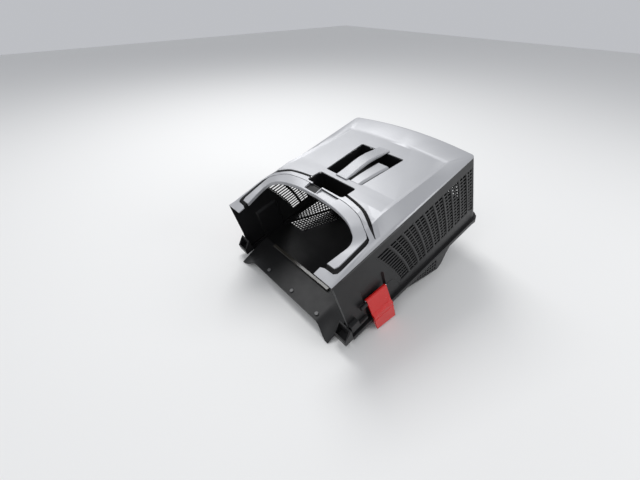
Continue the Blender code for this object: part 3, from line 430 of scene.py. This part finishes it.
def rib(name, centre, place):
    """Raised rib down a grille, rounded across and tapering to its ends."""
    rings = []
    for k in range(RIB_STEPS + 1):
        t = k / RIB_STEPS
        z = mix(WIN_TOP + RIB_OVERRUN, WIN_LOW - RIB_OVERRUN, t)
        height = RIB_HIGH * min(1.0, RIB_TAPER * t + RIB_END, RIB_TAPER * (1.0 - t) + RIB_END)
        rings.append([place(centre(z) + across * RIB_W, z, RIB_FOOT - lift * height)
                      for across, lift in RIB_SECTION])
    lofted(name, rings, BLACK, "hood")


def build_grilles():
    for side, name in SIDES:
        grille("grille_fine_" + name, "grille_" + name, side_lines, on_side(side), (side, 0, 0))
        for k in range(1, len(RIB_TOPS) + 1):
            rib("rib_%s_%d" % (name, k), lambda z, k=k: side_column(k, z), on_side(side))
    grille("grille_fine_rear", "grille_rear", rear_lines, on_rear, (0, 1, 0))
    for k in range(1, REAR_COLUMNS):
        x = -REAR_WIN_X + k * 2 * REAR_WIN_X / REAR_COLUMNS
        rib("rib_rear_%d" % k, lambda z, x=x: x, on_rear)


# ---------------------------------------------------------------- perforated panels of the tub


def tub_floor(y):
    (y0, z0), (y1, z1) = TUB_KNEE, TUB_HEEL
    return mix(z0, z1, (y - y0) / (y1 - y0))


def bars_and_holes(low, high, pitch, bar):
    """Lines of a row of holes about one pitch apart, with bars of the given width."""
    count = max(1, round((high - low) / pitch))
    cell = (high - low) / count
    lines = [low]
    for k in range(count):
        lines += [low + cell * k + bar / 2, low + cell * (k + 1) - bar / 2]
    return lines + [high]


def floor_mesh(side, name):
    xs = bars_and_holes(MESH_X[0] + EDGE_GAP, MESH_X[1] - EDGE_GAP, MESH_PITCH, MESH_BAR)
    ys = bars_and_holes(MESH_Y[0] + EDGE_GAP, MESH_Y[1] - MESH_REAR_GAP, MESH_PITCH, MESH_BAR)
    bm = sheet([[(side * x, y, tub_floor(y) + MESH_SINK) for x in xs] for y in ys])
    punch(bm, len(xs) - 1)
    solid_panel("floor_mesh_" + name, bm, (0, 0, -1), MESH_T, "tub", "tub_mesh_" + name)


def wall_mesh(side, name):
    ys = bars_and_holes(VENT_Y[0] + EDGE_GAP, VENT_Y[1] - EDGE_GAP, MESH_PITCH, MESH_BAR)
    shares = bars_and_holes(VENT_END, 1.0 - VENT_END, VENT_PITCH, VENT_BAR)
    x = side * (TUB_HALF_W - MESH_SINK)
    rows = []
    for y in ys:
        top, low = PARTING_Z - PARTING_FALL * y - VENT_BELOW_PARTING, tub_floor(y) + VENT_ABOVE_FLOOR
        rows.append([(x, y, mix(top, low, share)) for share in shares])
    bm = sheet(rows)
    punch(bm, len(shares) - 1)
    solid_panel("wall_mesh_" + name, bm, (side, 0, 0), MESH_T, "tub", "tub_side_mesh_" + name)


def build_meshes():
    for side, name in SIDES:
        floor_mesh(side, name)
        wall_mesh(side, name)


# ---------------------------------------------------------------- beads and liners


def bead(name, path, size, mat, body):
    """Raised bead through box-frame points, each given with the direction that is outward there."""
    width, height = size
    rings = []
    for k, (point, outward) in enumerate(path):
        ahead = Vector(path[min(k + 1, len(path) - 1)][0]) - Vector(path[max(k - 1, 0)][0])
        out = Vector(outward).normalized()
        across = ahead.cross(out).normalized()
        rings.append([Vector(point) + across * width * a + out * height * h for a, h in BEAD_SECTION])
    lofted(name, rings, mat, body)


def build_wall_beads():
    """Beads on the side walls: under the cover, round the clip's pocket, and down the front edge. The grey
    of the step line and the front edge is painted highlight.
    """
    for side, name in SIDES:
        wall = on_side(side)
        outward = (side, 0.0, SIDE_FLARE)
        forward = (side, -0.9, SIDE_FLARE)
        step = [(wall(y, STEP_Z, 0.0), outward) for y in np.linspace(*STEP_Y, WALL_BEAD_POINTS)]
        pocket = [(wall(y, z, 0.0), outward) for y, z in POCKET_OUTLINE]
        front = [(wall(FRONT_EDGE_Y, z, FRONT_EDGE_SINK), forward)
                 for z in np.linspace(*FRONT_EDGE_Z, WALL_BEAD_POINTS)]
        bead("step_line_" + name, step, STEP_SIZE, EDGE_HIGHLIGHT, "hood")
        bead("pocket_bead_" + name, pocket, POCKET_SIZE, BLACK, "hood")
        bead("front_edge_" + name, front, FRONT_EDGE_SIZE, EDGE_HIGHLIGHT, "hood")


def build_lip_edge():
    """Grey bead along the front of the lip, between its two feet; its grey is painted highlight on the lip's
    front edge.
    """
    path = [((x, LIP_Y, LIP_Z), (0.0, -1.0, 0.5)) for x in np.linspace(-LIP_HALF_X, LIP_HALF_X, LIP_POINTS)]
    bead("lip_edge", path, LIP_SIZE, EDGE_HIGHLIGHT, "tub")


def build_notch_shade_sheet():
    """Matt black sheet in the notch that opens the pocket forward; its black is painted shade where light
    into the notch is blocked.
    """
    bm = bmesh.new()
    bmesh.ops.create_cube(bm, size=1.0)
    for vert in bm.verts:
        place = [mix(low, high, share + 0.5) for (low, high), share in zip(NOTCH_BOX, vert.co)]
        vert.co = BOX_TO_ROW @ Vector(place)
    piece = to_piece("notch_shade_sheet", bm, BLACK_SHADED, "hood")
    soften(piece, NOTCH_ROUND)


# ---------------------------------------------------------------- floor, light and camera


def stage_floor():
    bm = bmesh.new()
    bmesh.ops.create_grid(bm, x_segments=1, y_segments=1, size=FLOOR_HALF)
    mesh = bpy.data.meshes.new("floor")
    bm.to_mesh(mesh)
    bm.free()
    mesh.materials.append(new_material("floor_paint", (0.80, 0.80, 0.79), 0.6))
    floor = bpy.data.objects.new("floor", mesh)
    bpy.context.scene.collection.objects.link(floor)


def area_light(name, at, size, power):
    light = bpy.data.lights.new(name, "AREA")
    light.shape = "RECTANGLE"
    light.size, light.size_y = size
    light.energy = power
    obj = bpy.data.objects.new(name, light)
    bpy.context.scene.collection.objects.link(obj)
    obj.location = at
    obj.rotation_euler = (Vector(LIGHT_TARGET) - Vector(at)).to_track_quat("-Z", "Y").to_euler()


def studio():
    stage_floor()
    for light in LIGHTS:
        area_light(*light)
    world = bpy.data.worlds.new("studio")
    world.use_nodes = True
    sky = world.node_tree.nodes["Background"]
    sky.inputs["Color"].default_value = SKY_COLOUR
    sky.inputs["Strength"].default_value = SKY_STRENGTH
    bpy.context.scene.world = world
    bpy.context.scene.view_settings.view_transform = "Standard"


def camera():
    data = bpy.data.cameras.new("camera")
    data.sensor_width = SENSOR_W
    data.lens = LENS
    obj = bpy.data.objects.new("camera", data)
    bpy.context.scene.collection.objects.link(obj)
    obj.location = CAMERA_AT
    obj.rotation_euler = (math.radians(90.0 - CAMERA_DOWN), 0.0, math.radians(CAMERA_TURN))
    bpy.context.scene.camera = obj


build_skins()
build_grilles()
build_meshes()
build_wall_beads()
build_lip_edge()
build_notch_shade_sheet()
studio()
camera()
